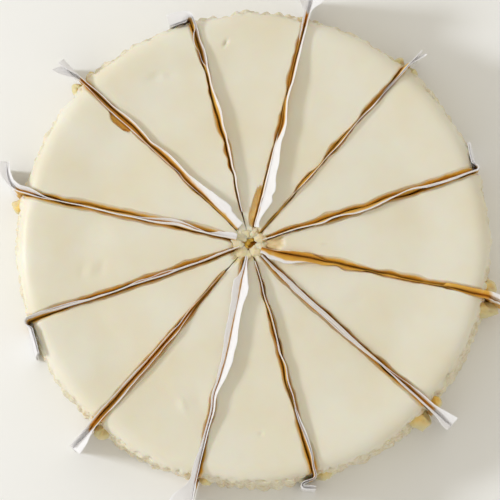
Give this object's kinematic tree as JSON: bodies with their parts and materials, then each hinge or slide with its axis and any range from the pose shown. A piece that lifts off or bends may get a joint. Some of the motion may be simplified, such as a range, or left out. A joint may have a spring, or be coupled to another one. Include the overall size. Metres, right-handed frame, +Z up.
{
  "type": "baked cheesecake, cut, with paper slips in the cuts",
  "caption": "Round plain baked cheesecake cut into wedge slices, with a folded paper slip standing in each cut and sticking out past the rim.",
  "frame": {"origin": "centre of the bounding box in plan, on the plane the cake stands on", "axes": "+Z up, out of the cake's top; +Y towards the far side of the cake as seen from the front; +X to the right"},
  "size_m": [0.2702, 0.2788, 0.0519],
  "materials": {
    "cheesecake": null,
    "paper": "matte white greaseproof paper"
  },
  "bodies": {
    "root": {"slice_01": "cheesecake", "slice_02": "cheesecake", "slice_03": "cheesecake", "slice_04": "cheesecake", "slice_05": "cheesecake", "slice_06": "cheesecake", "slice_07": "cheesecake", "slice_08": "cheesecake", "slice_09": "cheesecake", "slice_10": "cheesecake", "slice_11": "cheesecake", "slice_12": "cheesecake", "paper_01": "paper", "paper_02": "paper", "paper_03": "paper", "paper_04": "paper", "paper_05": "paper", "paper_06": "paper", "paper_07": "paper", "paper_08": "paper", "paper_09": "paper", "paper_10": "paper", "paper_11": "paper", "paper_12": "paper"}
  },
  "joints": []
}
